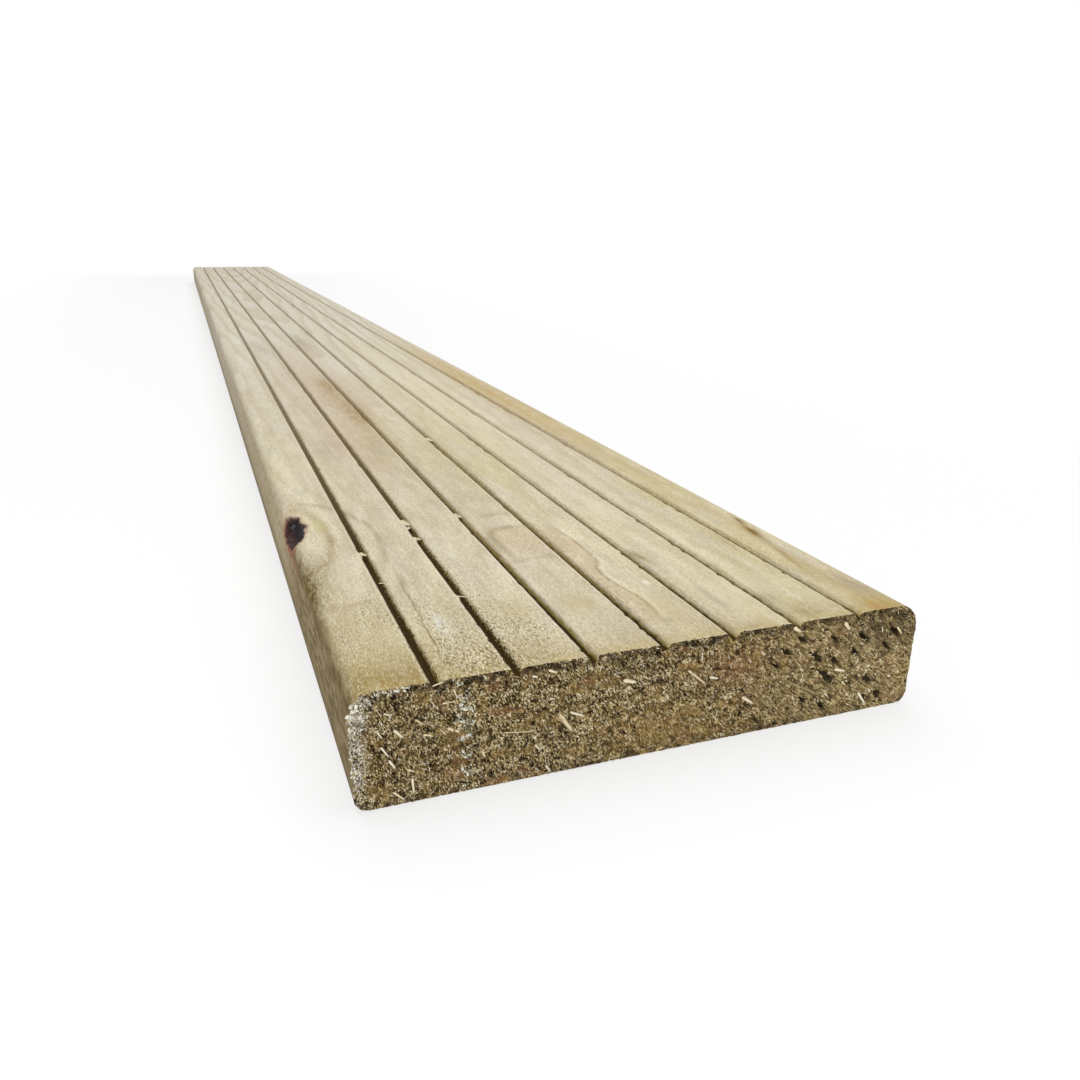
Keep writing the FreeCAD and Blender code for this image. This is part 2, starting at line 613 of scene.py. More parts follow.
# Torn grain: short dashes, thick on the left lands by the near end and in one worn patch
worn_across = -27.0
worn_end = 22.0
worn_patch = across.bell(worn_across, 6.5) * from_near_end.bell(worn_end, 12.0)
torn_patches = place.grain((10, 40, 10), 2.0, shift=3.0).rise(0.4, 0.62)
roughened = torn_patches * (1 - from_near_end.rise(25.0, 120.0)) * left_lands
roughened = across.math("MAXIMUM", roughened, worn_patch) * (1 - in_halo)
speck = place.grain((0.3, 1.1, 0.3), 2.0, 0.6)
dash = place.grain((0.5, 5.0, 0.5), 2.0, 0.6, shift=2.0)
specked = 0.1 + (1 - from_near_end.rise(12.0, 80.0)) * (0.16 + 0.28 * left_lands) + 0.75 * roughened
colour = colour.tint(dark_dash, speck.rise(0.52, 0.68) * specked)
colour = colour.tint(pale_dash, (1 - speck).rise(0.52, 0.68) * specked * 0.65)
colour = colour.tint(dark_dash, dash.rise(0.58, 0.74) * 0.22)

# A broken scratch on the second land, and a pale smear beside it
scratch_across = -50.3
scratch_lean = 0.024
scratch_wave = (place.grain((20, 9, 20), shift=5.0) - 0.5) * 2.2
scratch = (across - scratch_across - from_near_end * scratch_lean + scratch_wave).bell(0.0, 0.26)
scratch = scratch * from_near_end.rise(10.0, 20.0) * (1 - from_near_end.rise(30.0, 90.0))
colour = colour.tint(dark_dash, scratch * (0.2 + 0.8 * broken) * 0.8)
smear_white = shade(226, 228, 222)
smear_across = -46.0
smear_end = 28.0
smear_spot = across.bell(smear_across, 1.7) * from_near_end.bell(smear_end, 5.5)
colour = colour.tint(smear_white, smear_spot * place.grain((1.2, 4, 1.2)).rise(0.35, 0.6) * 0.75)

# Stains on the walking face: place across, distance from the near end, half width, half length, lean across
# for each millimetre along, colour and strength
smudge_brown = shade(160, 134, 90)
smudge_grey = shade(158, 146, 120)
smudge_pink = shade(190, 168, 146)
band_brown = shade(188, 162, 106)
pin_brown = shade(104, 70, 18)
mould_olive = shade(126, 108, 50)
red_gold = shade(176, 132, 72)
halo_olive = shade(184, 172, 112)
stains = (
    (-63.0, 112.0, 2.2, 9.0, 0.0, halo_olive, 0.55),
    (-62.0, 25.0, 9.0, 22.0, 0.0, near_tan, 0.35),
    (10.0, 20.0, 6.0, 13.0, 0.0, near_tan, 0.6),
    (-9.0, 28.0, 6.0, 8.0, 0.0, near_tan, 0.6),
    (-27.0, 30.0, 6.0, 8.0, 0.0, near_tan, 0.5),
    (36.0, 27.0, 12.0, 10.0, 0.0, pale_tan, 0.4),
    (63.0, 14.0, 7.0, 18.0, 0.0, latewood, 0.55),
    (32.0, 14.0, 7.0, 12.0, 0.0, pale_tan, 0.55),
    (51.0, 16.0, 6.0, 12.0, 0.0, pale_tan, 0.35),
    (64.0, 4.5, 6.0, 4.5, 0.0, end_yellow, 0.7),
    (64.0, 2.0, 7.0, 5.0, 0.0, end_gold, 0.35),
    (-63.0, 2.0, 9.0, 5.0, 0.0, end_gold, 0.4),
    (24.0, 2.0, 5.0, 3.0, 0.0, mould_olive, 0.35),
    (6.5, 12.0, 1.5, 2.0, 0.0, smudge_grey, 0.9),
    (13.0, 36.0, 0.8, 1.6, 0.0, pale_dash, 0.9),
    (-49.0, 41.0, 0.8, 2.5, 0.0, smudge_grey, 0.8),
    (-25.0, 215.0, 7.0, 25.0, 0.0, smudge_grey, 0.5),
    (-46.0, 210.0, 5.0, 25.0, 0.0, smudge_grey, 0.4),
    (-28.0, 350.0, 20.0, 170.0, 0.0, smudge_pink, 0.6),
    (27.0, 330.0, 17.0, 230.0, 0.0, pale_tan, 0.6),
    (-22.0, 325.0, 7.0, 70.0, 0.0, smudge_brown, 0.4),
    (-23.0, 370.0, 4.5, 26.0, 0.0, smudge_brown, 0.8),
    (-21.0, 280.0, 4.5, 30.0, 0.0, smudge_brown, 0.8),
    (-13.5, 585.0, 5.0, 50.0, 0.0, smudge_grey, 0.7),
    (-45.0, 540.0, 5.0, 45.0, -0.08, smudge_grey, 0.5),
    (-38.5, 230.0, 6.0, 40.0, 0.0, smudge_pink, 0.5),
    (60.0, 340.0, 7.5, 200.0, 0.0, band_brown, 0.95),
    (20.5, 53.0, 1.0, 7.0, -0.12, mould_olive, 0.8),
    (65.0, 17.0, 2.6, 8.0, 0.0, smudge_grey, 0.7),
    (61.0, 42.0, 1.1, 14.0, 0.12, smudge_brown, 0.9),
    (64.0, 65.0, 2.0, 9.0, 0.1, band_brown, 0.9),
    (64.0, 62.5, 1.5, 6.0, 0.13, pin_brown, 0.95),
    (66.0, 74.0, 1.0, 5.0, 0.13, pin_brown, 0.8),
    (61.0, 2.0, 3.0, 3.0, 0.0, red_gold, 0.55),
    (42.0, 5.5, 4.5, 4.5, 0.0, mould_olive, 0.45),
    (24.5, 22.0, 1.3, 9.0, 0.0, smudge_grey, 0.7),
    (38.5, 16.0, 2.0, 6.0, 0.0, smudge_grey, 0.7),
    (51.0, 57.0, 0.7, 9.0, 0.1, smudge_brown, 0.6),
    (-15.0, 80.0, 1.6, 8.0, 0.0, smudge_grey, 0.6),
    (-48.5, 57.0, 1.3, 6.0, 0.05, smudge_grey, 0.75),
)
mottle = place.grain((1.4, 9, 1.4), 3.0, 0.6).rise(0.3, 0.6)
for stain_across, stain_end, half_reach, half_run, lean, stain_colour, strength in stains:
    off_line = across - stain_across - (from_near_end - stain_end) * lean
    stain = off_line.bell(0.0, half_reach) * from_near_end.bell(stain_end, half_run)
    colour = colour.tint(stain_colour, stain * (0.4 + 0.6 * mottle) * strength)

# The sides are brown and blotched up to the knot, and clean and pale beyond it; the brown is partly painted
# shade
side_brown = shade(138, 119, 80)
side_dark = shade(96, 80, 46)
foot_brown = shade(116, 101, 70)
mould_green = shade(124, 108, 52)
mould_dark = shade(74, 58, 24)
arris_red = shade(148, 106, 76)
side_top = 23.6
mould_up = 25.2
mould_end = 66.0
red_arris_up = 21.8
red_arris_end = 96.0
side_wall = (1 - up.rise(side_top, 27.6)) * abs(across).rise(half_width - 6.0, half_width - 2.5)
side_wall = side_wall * up.rise(0.5, 3.0)
blotch = place.grain((1.8, 6, 1.8), 3.0, 0.65, shift=6.0)
mould_spots = place.grain((1.0, 2.6, 1.0), 2.0, 0.6, shift=23.0)
beyond_knot = 0.6 * from_near_end.rise(90.0, 150.0) + 0.4 * from_near_end.rise(150.0, 620.0)
side_brownness = 1 - 0.4 * beyond_knot - 0.2 * beyond_knot * up.rise(2.0, 18.0)
# The side's brown: partly stain, partly painted shade of a side turned from the light
colour = colour.tint(side_brown, side_wall * side_brownness * (0.8 + 0.2 * blotch))
before_knot = 1 - from_near_end.rise(85.0, 130.0)
colour = colour.tint(side_dark, side_wall * blotch.rise(0.46, 0.6) * (0.25 + 0.65 * before_knot))
side_patch = place.grain((3, 12, 3), 2.0, shift=29.0).rise(0.44, 0.6)
colour = colour.tint(side_dark, side_wall * side_patch * before_knot * 0.4)
colour = colour.tint(side_dark, up.bell(side_top, 1.3) * side_wall * before_knot * 0.55)
side_foot = (1 - up.rise(2.5, 11.0)) * abs(across).rise(half_width - 5.0, half_width - 2.0)
# Darker towards the foot of the side: partly dirt, partly painted shade by the floor
colour = colour.tint(foot_brown, side_foot * (1 - 0.5 * from_near_end.rise(300.0, 900.0)) * 0.85)
left_side = 1 - across.rise(-half_width + 3.0, -half_width + 8.0)
mould = up.bell(mould_up, 2.3) * from_near_end.bell(mould_end, 17.0) * left_side
colour = colour.tint(mould_green, mould * (0.35 + 0.4 * blotch.rise(0.36, 0.54)))
colour = colour.tint(mould_dark, mould * mould_spots.rise(0.46, 0.58) * 0.9)
red_arris = up.bell(red_arris_up, 2.0) * from_near_end.bell(red_arris_end, 8.0) * left_side
colour = colour.tint(arris_red, red_arris * 0.6)

# The grooves are painted brown and dark, partly dirt and partly painted shade in the hollow, on the left wall
# most of all, and less of it the farther from the near end
groove_brown_dirt_and_shade = shade(130, 110, 48)
groove_dark_dirt_and_shade = shade(54, 40, 2)
least_dirt_and_shade = 0.42
dirt_and_shade_fade = 195.0
dirt_and_shade_skew = 1.1
groove_reach = groove_pitch * groove_count / 2
off_groove = across.math("WRAP", across, groove_pitch / 2, -groove_pitch / 2)
on_grooves = 1 - abs(across).rise(groove_reach - 2.0, groove_reach)
sunk = face_height - up
in_groove = (1 - abs(off_groove).rise(1.5, 2.2)) * (1 - sunk.rise(3.2, 4.0)) * on_grooves
dirt_shade_and_sheen = least_dirt_and_shade + 0.8 * across.math("EXPONENT", from_near_end / (across * dirt_and_shade_skew - dirt_and_shade_fade))
dirt_shade_and_sheen = across.math("MINIMUM", dirt_shade_and_sheen, 1.0)
ragged_depth = sunk + (place.grain((0.8, 3, 0.8), 2.0, 0.6) - 0.5) * 1.2
# A painted highlight along the left lip of each groove, strongest by the near end
colour = colour.tint(pale_dash, off_groove.bell(-1.8, 0.3) * on_grooves * dirt_shade_and_sheen * up.rise(27.0, 27.8) * 0.4)
right_lands = across.rise(-12.0, 24.0)
brown_wall = ragged_depth - off_groove * right_lands * 0.35
# Painted brown deepening down into the groove: partly dirt, partly painted shade
colour = colour.tint(groove_brown_dirt_and_shade, in_groove * brown_wall.rise(0.35, 1.2) * dirt_shade_and_sheen * 0.9)
crumbled = (speck - 0.42) * left_lands * 4.0
dark_wall = ragged_depth - off_groove * (0.5 - 0.3 * left_lands) + 0.35 * (1 - from_near_end.rise(5.0, 60.0))
dark_wall = dark_wall + crumbled
# Painted dark on the left wall and root: partly dirt, partly painted shade
colour = colour.tint(groove_dark_dirt_and_shade, in_groove * dark_wall.rise(1.05, 1.75) * dirt_shade_and_sheen * dirt_shade_and_sheen)

# The dead knot: a black core on its upper side, red-brown below, and a thin red rim round the lower side
knot_black = shade(20, 15, 17)
knot_brown = shade(50, 31, 27)
knot_red = shade(150, 92, 72)
knot_glint = shade(118, 110, 112)
upper_lean = 0.62
knot_ragged = knot_gap + (place.grain((1.4, 4, 1.4), 2.0) - 0.5) * 0.3
upper_side = up - arris_centre.z + (across - arris_centre.x) * upper_lean
upper_side = upper_side + (place.grain((2, 5, 2)) - 0.5) * 3.0
red_rim = 1 - upper_side.rise(0.2, 2.6)
colour = colour.tint(knot_red, (1 - knot_ragged.rise(0.98, 1.24)) * (0.5 + 0.5 * red_rim) * 0.8)
colour = colour.tint(knot_brown, (1 - knot_ragged.rise(0.84, 1.06)) * 0.95)
core = (1 - knot_ragged.rise(0.72, 0.98)) * (0.25 + 0.75 * upper_side.rise(-1.8, 1.2))
colour = colour.tint(knot_black, core)
# Painted grey glints of light on the black core
colour = colour.tint(knot_glint, core * place.grain((1.6, 4, 1.6), 2.0, shift=31.0).rise(0.5, 0.66) * 0.55)
height = streak * 0.4 + speck * (0.2 + 0.8 * roughened) + dash * 0.3 + late * 0.2
connect(shader, colour, height, planed_relief)
board_mesh.materials.append(planed)

# Sawn ends: torn end grain, painted shade dark in its pits and low spots, olive brown with golden and reddish
# patches
pit_shade = shade(36, 26, 12)
torn_brown = shade(98, 78, 40)
torn_olive = shade(152, 129, 80)
torn_tan = shade(206, 186, 136)
torn_cream = shade(238, 222, 180)
torn_grey = shade(143, 128, 95)
torn_gold = shade(184, 152, 88)
torn_red = shade(160, 116, 78)
bleached = shade(214, 208, 190)
stroke_lean = 0.45
drag_slope = 0.7
torn_relief = 0.5
bleach_from = 2.2
bleach_to = 6.0

sawn, shader, place = new_finish("sawn_end_grain", roughness=0.9, specular=0.2)
across = place.part("X")
along = place.part("Y")
up = place.part("Z")
leaning = place.node("ShaderNodeCombineXYZ", {}, {0: across + up * stroke_lean, 1: along, 2: up})
stroke = leaning.grain((0.34, 2.0, 0.85), 2.0, 0.6)
along_drag = across - up * drag_slope
across_drag = up + across * drag_slope
dragged = place.node("ShaderNodeCombineXYZ", {}, {0: along_drag, 1: along, 2: across_drag})
drag = dragged.grain((2.2, 2.0, 0.55), 3.0, 0.65)
clot = place.grain((1.5, 1.5, 1.5), 2.0)
smear = across.rise(smear_from, smear_to)
fleck = stroke + (drag - stroke) * smear
# The lowest spots of the relief take the painted shade of the pits
stops = ((0.38, pit_shade), (0.46, torn_brown), (0.51, torn_olive), (0.57, torn_tan), (0.64, torn_cream))
colour = place.node("ShaderNodeValToRGB", {"stops": stops}, {0: fleck * 0.8 + clot * 0.2})
colour = colour.tint(torn_grey, smear * 0.38)

soot = shade(50, 38, 22)
red_across = 20.0
red_up = 19.0
end_ring_width = 3.3

# Broad patches of the ends: place across and up, half width, half height, colour and strength
end_patches = (
    (-2.0, 6.0, 14.0, 6.0, torn_gold, 0.4),
    (-60.0, 14.0, 6.0, 12.0, soot, 0.16),
    (31.0, 15.0, 7.0, 12.0, soot, 0.14),
    (-8.0, 23.0, 7.0, 2.0, soot, 0.3),
    (57.0, 18.0, 6.0, 3.0, torn_tan, 0.25),
)


def patchy(colour, place):
    """Growth bands, golden and reddish patches, and darker clots along the upper edge, the right corner and
    the foot of an end.
    """
    across = place.part("X")
    up = place.part("Z")
    ring_across = across - pith.x
    ring_up = up - pith.z
    radius = across.math("SQRT", ring_across * ring_across + ring_up * ring_up)
    band = across.math("PINGPONG", radius + place.grain((8, 8, 8)) * 4.0, end_ring_width / 2)
    colour = colour.tint(torn_brown, band.rise(1.0, 1.6) * 0.35)
    smeared = across.rise(smear_from, smear_to)
    gold = place.grain((6, 6, 6), shift=2.0).rise(0.52, 0.68)
    colour = colour.tint(torn_gold, gold * (0.4 - 0.25 * smeared))
    red = across.bell(red_across, 9.0) * up.bell(red_up, 4.5)
    red = across.math("MAXIMUM", red, place.grain((9, 9, 5), shift=5.0).rise(0.55, 0.7))
    colour = colour.tint(torn_red, red * (0.5 - 0.25 * smeared))
    for patch_across, patch_up, half_reach, half_rise, patch_colour, strength in end_patches:
        patch = across.bell(patch_across, half_reach) * up.bell(patch_up, half_rise)
        colour = colour.tint(patch_colour, patch * strength)
    clots = place.grain((2.4, 2.4, 1.8), 2.0, shift=9.0)
    dark_clots = up.rise(face_height - 3.2, face_height - 0.8) * clots.rise(0.42, 0.58)
    corner = across.rise(40.0, 62.0) * up.rise(13.0, 23.0) * clots.rise(0.34, 0.56) * 0.75
    foot = (1 - up.rise(0.4, 3.0)) * clots.rise(0.42, 0.6)
    dark_clots = across.math("MAXIMUM", dark_clots, across.math("MAXIMUM", corner, foot))
    # Darker along the upper edge, the right corner and the foot
    return colour.tint(soot, dark_clots * 0.75)


colour = patchy(colour, place)
# Painted shade in the torn-out pits
colour = colour.tint(pit_shade, place.attribute("tear_pit").rise(0.05, 0.85) * 0.92)
bleach_gap = across + half_width + (place.grain((5, 5, 5), 3.0) - 0.5) * 8.0 + (face_height - up) * 0.08
bleach = (1 - bleach_gap.rise(bleach_from, bleach_to)) * (1 - along.rise(-1.0, 1.0))
colour = colour.tint(bleached, bleach * 0.85 * fleck.rise(0.35, 0.5))
connect(shader, colour, fleck, torn_relief)
board_mesh.materials.append(sawn)

# Fibres of the sawn ends
# Wood fibres that the saw pulled out and bent over, left standing all over both end faces. Each is a bent,
# pointed three-sided spindle, and each growth of them is one joined mesh.
long_rings = 2
short_rings = 1
fibre_flatness = 0.55
slim_tip = 0.25
root_girth = 1.2
fibre_taper = 0.5
floor_gap = 0.05
root_sunk = 0.15
foot_gap = 0.4
curl_spread = 0.12
curl_outward = (-0.3, 0.1)
clot_size = 2.2
clot_contrast = 0.8
pit_bareness = 0.9
fibre_relief = 0.1


def spindle(rings, tip):
    """Corners and faces of a closed three-sided spindle, one long from its root to its tip. Of two rings,
    each stands off its end by the tip's share."""
    shape = bmesh.new()
    bmesh.ops.create_uvsphere(shape, u_segments=3, v_segments=rings + 1, radius=0.5)
    bmesh.ops.translate(shape, verts=shape.verts, vec=(0, 0, 0.5))
    for vert in shape.verts:
        if 0.1 < vert.co.z < 0.4:
            vert.co.z = tip
        if 0.6 < vert.co.z < 0.9:
            vert.co.z = 1 - tip
    corners = np.array([vert.co for vert in shape.verts])
    shape.verts.index_update()
    faces = [[vert.index for vert in face.verts] for face in shape.faces]
    shape.free()
    return corners, faces


def fibre_piece(name, fibres, rings, finish, lies_on=(0, 1, 0), tip=slim_tip):
    """Join fibres into one piece. They are root, run, bend, width and tint arrays, in millimetres, and they
    lie flat on the surface whose normal is given."""
    root, run, bend, width, tint = fibres
    ahead = run / np.linalg.norm(run, axis=1, keepdims=True)
    flat = np.cross(ahead, lies_on)
    flat /= np.linalg.norm(flat, axis=1, keepdims=True)
    thick = np.cross(ahead, flat)
    corners, corner_faces = spindle(rings, tip)
    verts = []
    for aside, out, share in corners:
        girth = (flat * aside + fibre_flatness * thick * out) * width[:, None]
        girth = girth * (root_girth - fibre_taper * share)
        verts.append(root + run * share + bend * share * share + girth)
    verts = np.stack(verts, axis=1).reshape(-1, 3)
    verts[:, 2] = np.maximum(verts[:, 2], floor_gap)
    faces = [
        [len(corners) * index + spot for spot in face]
        for index in range(len(root))
        for face in corner_faces
    ]
    mesh = bpy.data.meshes.new(name)
    mesh.from_pydata((verts * MM).tolist(), [], faces)
    mesh.shade_smooth()
    layer = mesh.attributes.new("tint", "FLOAT", "POINT")
    layer.data.foreach_set("value", np.repeat(tint, len(corners)).astype(np.float32))
    mesh.materials.append(finish)
    piece = bpy.data.objects.new(name, mesh)
    scene.collection.objects.link(piece)
    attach(piece, "root")


def inside_section(across, up):
    """True where a point of an end is timber, clear of the rounded corners and the grooves."""
    corners = ((face_arris, face_height - face_arris, 1), (back_arris, back_arris, -1))
    for radius, centre_up, outside in corners:
        from_centre = abs(across) - half_width + radius
        if (up - centre_up) * outside > 0 and from_centre > 0:
            return math.hypot(from_centre, up - centre_up) < radius
    from_groove = abs(across - groove_pitch * round(across / groove_pitch))
    if abs(across) < groove_pitch * groove_count / 2 and from_groove < groove_half_mouth:
        return 0 < up < face_height - groove_depth + from_groove
    return abs(across) < half_width and 0 < up < face_height


def on_end(random, count, side, density):
    """Random places on an end face, as thick as the density of a place across and up says."""
    roots = []
    for across, up, chance in random.random((count, 3)):
        across = (2 * across - 1) * half_width
        up = up * face_height
        open_wood = density(across, up) * (1 - pit_bareness * tear_pit(across, up, side))
        if inside_section(across, up) and chance < open_wood:
            roots.append((across, side * (half_length + torn_height(across, up, side) - root_sunk), up))
    return np.array(roots)


def bent_over(random, roots, side, length, width, lift_deg, heading_deg, heading_spread):
    """Runs, bends and widths of fibres that stand on an end face. Length, width and lift are from and to."""
    count = len(roots)
    heading = np.radians(random.normal(heading_deg, heading_spread, count))
    lift = np.radians(random.uniform(*lift_deg, count))
    reach = random.uniform(*length, count)[:, None]
    flat_run = np.cos(lift)
    run = np.stack((np.cos(heading) * flat_run, side * np.sin(lift), np.sin(heading) * flat_run), axis=1)
    curl = random.normal(0, curl_spread, (count, 3))
    curl[:, 1] = side * random.uniform(*curl_outward, count)
    return run * reach, curl * reach, random.uniform(*width, count)


def clotted(random, roots, low, high):
    """A tint for each fibre, beta-spread, with neighbours alike."""
    clots = [clot_contrast * noise.noise(Vector(root) / clot_size) for root in roots]
    return random.beta(low, high, len(roots)) + np.array(clots)


def within(fibres, left, top):
    """Only the fibres whose tips stay in the section, or pass its left or upper edge by the reach given."""
    tips = fibres[0] + fibres[1] + fibres[2]
    shift_across = np.where(tips[:, 0] < 0, left, 0.0)
    shift_up = np.where(tips[:, 2] > face_height / 2, -top, -foot_gap)
    kept = [inside_section(*spot) for spot in zip(tips[:, 0] + shift_across, tips[:, 2] + shift_up)]
    return tuple(part[kept] for part in fibres)


def fibre_finish(name, stops, patches):
    """Dry wood fibre, from its darkest to its palest colour by each fibre's own tint."""
    finish, shader, place = new_finish(name, roughness=0.85, specular=0.25)
    mottle = place.grain((1.0, 1.0, 1.0), 2.0) - 0.5
    colour = place.node("ShaderNodeValToRGB", {"stops": stops}, {0: place.attribute("tint") + mottle * 0.3})
    if patches:
        colour = patchy(colour, place)
    connect(shader, colour, mottle, fibre_relief)
    return finish


brown_fibre = fibre_finish("brown_fibre", (
    (0.0, shade(38, 27, 9)),
    (0.25, shade(100, 80, 40)),
    (0.5, shade(152, 129, 79)),
    (0.75, shade(206, 186, 136)),
    (1.0, shade(248, 236, 204)),
), patches=True)
dark_umber_fibre = fibre_finish("dark_umber_fibre", (
    (0.0, shade(26, 19, 11)),
    (0.45, shade(66, 53, 33)),
    (0.8, shade(128, 110, 76)),
    (1.0, shade(196, 180, 142)),
), patches=False)
dark_edge_depth = 1.3
dark_edge_wander = 1.5
dark_corner_depth = 5.0


def dark_upper_edge(across, up):
    """A dark line of crumbs along the upper edge, broken along its length and deep at the right corner."""
    wander = noise.noise(Vector((across / 7, 6, 0)))
    depth = dark_edge_depth + dark_edge_wander * wander + dark_corner_depth * eased(across, 38, 60)
    return (1 - eased(face_height - up, 0.6 * depth, depth + 0.6)) * (1 - 0.55 * eased(across, 36, 44))


def left_rough(across, up):
    """Thick on the left of an end, thinner where the saw smeared it."""
    return 1 - 0.97 * eased(across, smear_from, smear_to)


def right_smeared(across, up):
    """Only where the saw smeared the end."""
    return eased(across, smear_from, smear_to)


def grow(name, random, side, tries, density, shape, tints, overhang, rings, finish):
    """Grow fibres on an end, thick where the density says. The shape is their length, width and lift, each
    from and to, then their heading and its spread. The overhang is past the left and the upper edge."""
    roots = on_end(random, tries, side, density)
    run, bend, width = bent_over(random, roots, side, *shape)
    tint = clotted(random, roots, *tints)
    fibre_piece(name, within((roots, run, bend, width, tint), *overhang), rings, finish)


# What grows on both ends: name, tries on the near and the far end, where it is thick, its shape, tints and
# overhang as grow() takes them, rings and finish
crumb_shape = ((0.5, 1.3), (0.29, 0.6), (8, 55), -65, 50)
fibre_shape = ((0.7, 1.6), (0.18, 0.36), (4, 40), -45, 70)
flake_shape = ((0.5, 1.4), (0.35, 0.85), (3, 25), -40, 38)
dark_crumb_shape = ((0.5, 1.3), (0.3, 0.65), (10, 60), -80, 60)
growths = (
    ("crumbs", (33000, 19000), left_rough, crumb_shape, (0.28, 0.38), (0.1, 0.3), short_rings, brown_fibre),
    ("fibres", (4000, 2800), left_rough, fibre_shape, (0.9, 0.5), (0.1, 0.3), long_rings, brown_fibre),
    ("flakes", (9000, 6000), right_smeared, flake_shape, (0.7, 1.0), (0.1, 0.2), long_rings, brown_fibre),
    ("soot", (13000, 8000), dark_upper_edge, dark_crumb_shape, (0.8, 1.2), (0.1, 0.15), short_rings, dark_umber_fibre),
)
fibre_seed = 40
for end, (side, end_name) in enumerate(((-1, "near_end"), (1, "far_end"))):
    random = np.random.default_rng(fibre_seed + side)
    for name, tries, *growth in growths:
        grow(end_name + "_" + name, random, side, tries[end], *growth)

# Splinters and chips
# Larger pale slivers that the saw left lying on the near end, and small ones strewn on both ends. They are
# dry torn wood, held only by the fibres round them. Each large one has its place across and up, length,
# heading and width.
near_splinters = (
    (-63.5, 19.0, 4.0, -60, 1.0),
    (-57.5, 16.5, 2.5, -10, 0.6),
    (-52.0, 16.5, 3.0, -20, 1.1),
    (-67.0, 19.0, 2.0, -55, 0.5),
    (-66.5, 15.5, 3.0, -55, 0.6),
    (-65.0, 12.0, 2.5, -50, 0.8),
    (-61.0, 8.5, 2.0, -20, 0.8),
    (-60.0, 6.5, 3.5, -85, 0.8),
    (-64.5, 4.0, 3.5, -30, 0.8),
    (-65.5, 23.0, 2.0, -25, 0.5),
    (-59.0, 20.5, 2.0, -40, 0.5),
    (-55.0, 27.0, 3.0, 25, 0.4),
    (-53.5, 23.0, 4.0, 10, 0.4),
    (-50.5, 26.0, 2.5, -70, 0.5),
    (-26.5, 15.5, 6.0, -50, 1.9),
    (-24.0, 15.5, 3.5, -20, 0.8),
    (-11.0, 21.0, 4.0, -15, 1.4),
    (-29.0, 26.5, 2.5, -25, 0.9),
    (-33.0, 26.0, 1.5, -10, 0.6),
    (6.0, 20.5, 3.5, -40, 0.8),
    (-6.5, 8.0, 2.5, -40, 1.2),
    (-32.0, 8.5, 2.0, -50, 0.9),
    (-29.5, 3.0, 2.5, -60, 0.8),
    (-40.0, 13.5, 7.5, -15, 0.4),
    (34.5, 27.0, 2.5, -35, 1.4),
    (49.0, 26.5, 3.0, -45, 1.4),
    (6.5, 20.0, 5.5, -35, 0.9),
    (11.5, 18.0, 3.0, -15, 1.0),
    (65.5, 23.0, 3.0, -50, 0.8),
    (56.0, 6.0, 4.0, -60, 1.0),
    (21.0, 11.0, 3.5, -30, 1.2),
    (47.5, 14.0, 3.0, -25, 1.1),
)
pale_splinter = fibre_finish("pale_splinter", (
    (0.0, shade(196, 174, 128)),
    (0.5, shade(234, 218, 180)),
    (1.0, shade(247, 238, 216)),
), patches=False)
strewn_count = 150
strewn_share = 0.9
strewn_shape = ((0.9, 2.4), (0.3, 0.75), (3, 25), -40, 60)
splinter_seed = 70
chip_tip = 0.17
chip_clearance = 0.9
chip_lift = -0.12
chip_bend = 0.1
chip_overhang = (0.3, 0.6)
chip_tints = (0.1, 0.8)
placed_paleness = 0.2


def strewn_evenly(across, up):
    """Alike all over an end."""
    return strewn_share


for side, name in ((-1, "near_end_splinters"), (1, "far_end_splinters")):
    random = np.random.default_rng(splinter_seed + side)
    roots = on_end(random, strewn_count, side, strewn_evenly)
    run, bend, width = bent_over(random, roots, side, *strewn_shape)
    if side < 0:
        placed = np.array(near_splinters)
        heading = np.radians(placed[:, 3])
        spots = [
            (across, -half_length - torn_height(across, up, side) - chip_clearance, up)
            for across, up in placed[:, :2]
        ]
        reach = np.stack((np.cos(heading), np.full(len(placed), chip_lift), np.sin(heading)), axis=1)
        roots = np.vstack((roots, spots))
        run = np.vstack((run, reach * placed[:, 2:3]))
        bend = np.vstack((bend, random.normal(0, chip_bend, (len(placed), 3)) * placed[:, 2:3]))
        width = np.concatenate((width, placed[:, 4]))
    tint = random.uniform(*chip_tints, len(roots))
    # The large ones are paler, and so are as many of the small ones on the far end
    tint[-len(near_splinters):] += placed_paleness
    splinters = within((roots, run, bend, width, tint), *chip_overhang)
    fibre_piece(name, splinters, long_rings, pale_splinter, tip=chip_tip)

